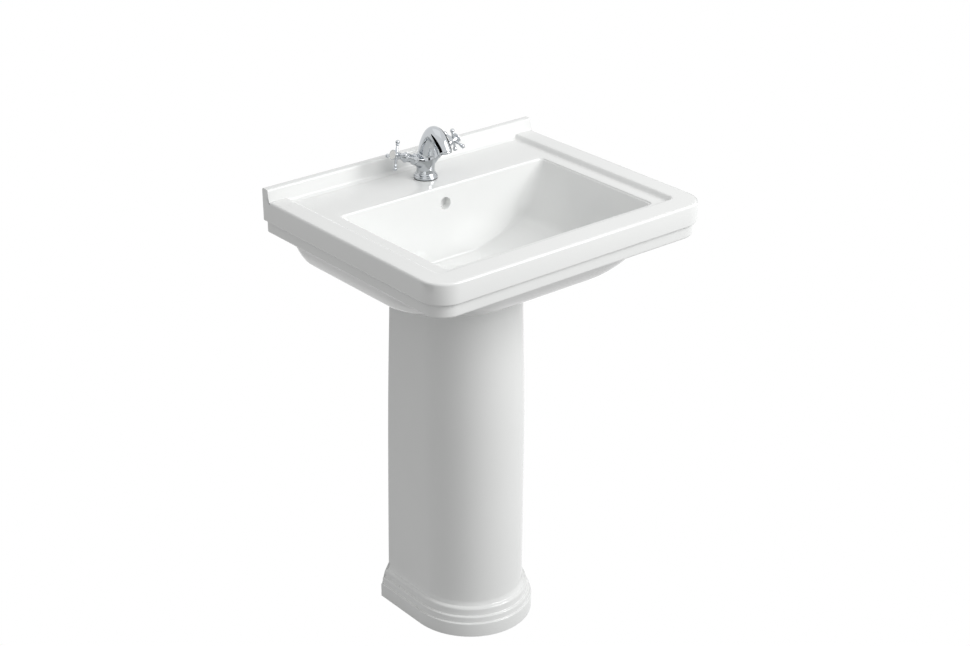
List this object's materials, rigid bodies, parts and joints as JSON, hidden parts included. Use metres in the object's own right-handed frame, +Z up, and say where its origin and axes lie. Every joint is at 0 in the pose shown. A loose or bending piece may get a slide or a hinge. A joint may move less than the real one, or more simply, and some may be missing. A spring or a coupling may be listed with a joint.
{
  "type": "pedestal basin",
  "caption": "Rectangular glazed china basin on a full-height pedestal, with an upstand, a banded apron, an overflow, and a deck-mounted mixer tap with cross handles.",
  "frame": {"origin": "on the floor, under the middle of the whole object's box", "axes": "+X to the right as seen from the front, +Y to the wall, +Z up; the front faces -Y"},
  "size_m": [0.6, 0.495, 0.9493],
  "materials": {
    "vitreous_china": "white high-gloss glaze",
    "pedestal_china": "white high-gloss glaze",
    "chrome_plate": "polished chrome plate on brass",
    "porcelain": "white glazed index cap",
    "brass": "machined brass",
    "disc_ceramic": "lapped alumina discs",
    "rubber": "moulded rubber",
    "steel": "zinc-plated or stainless steel",
    "acetal": "moulded acetal",
    "trap_plastic": "white polypropylene"
  },
  "bodies": {
    "basin_and_pedestal": {"basin": "vitreous_china", "pedestal": "pedestal_china", "tap_body": "chrome_plate", "aerator_housing": "chrome_plate", "aerator_insert": "acetal", "aerator_seal": "rubber", "tap_base_seal": "rubber", "tap_stud": "brass", "tap_horseshoe_rubber": "rubber", "tap_horseshoe_plate": "steel", "tap_clamp_nut": "brass", "waste_body": "chrome_plate", "waste_seal": "rubber", "waste_washer": "rubber", "waste_backnut": "brass", "plug_cartridge": "acetal", "trap_inlet_nut": "trap_plastic", "trap_inlet_seal": "rubber", "trap_dip_tube": "trap_plastic", "trap_neck_nut": "trap_plastic", "trap_head": "trap_plastic", "trap_cup": "trap_plastic", "trap_cup_seal": "rubber", "trap_outlet_nut": "trap_plastic", "trap_outlet_seal": "rubber", "trap_outlet_pipe": "trap_plastic", "seat_seal_hot": "rubber", "fixed_disc_hot": "disc_ceramic", "valve_body_hot": "brass", "bonnet_hot": "chrome_plate", "seat_seal_cold": "rubber", "fixed_disc_cold": "disc_ceramic", "valve_body_cold": "brass", "bonnet_cold": "chrome_plate"},
    "hot_handle": {"cross_handle_hot": "chrome_plate", "handle_screw_hot": "steel", "index_cap_hot": "porcelain", "spindle_hot": "brass", "moving_disc_hot": "disc_ceramic"},
    "cold_handle": {"cross_handle_cold": "chrome_plate", "handle_screw_cold": "steel", "index_cap_cold": "porcelain", "spindle_cold": "brass", "moving_disc_cold": "disc_ceramic"},
    "waste_plug": {"plug": "chrome_plate", "plug_seal": "rubber"}
  },
  "joints": [
    {"name": "hot_handle_turn", "type": "hinge", "parent": "basin_and_pedestal", "child": "hot_handle", "pos_m": [0, 0.1709, 0.8757], "axis": [-0.9272, 0, 0.3746], "range_deg": [0, 90]},
    {"name": "cold_handle_turn", "type": "hinge", "parent": "basin_and_pedestal", "child": "cold_handle", "pos_m": [0, 0.1709, 0.8757], "axis": [0.9272, 0, 0.3746], "range_deg": [-90, 0]},
    {"name": "plug_lift", "type": "slide", "parent": "basin_and_pedestal", "child": "waste_plug", "axis": [0, 0, 1], "range_m": [0, 0.008]}
  ]
}
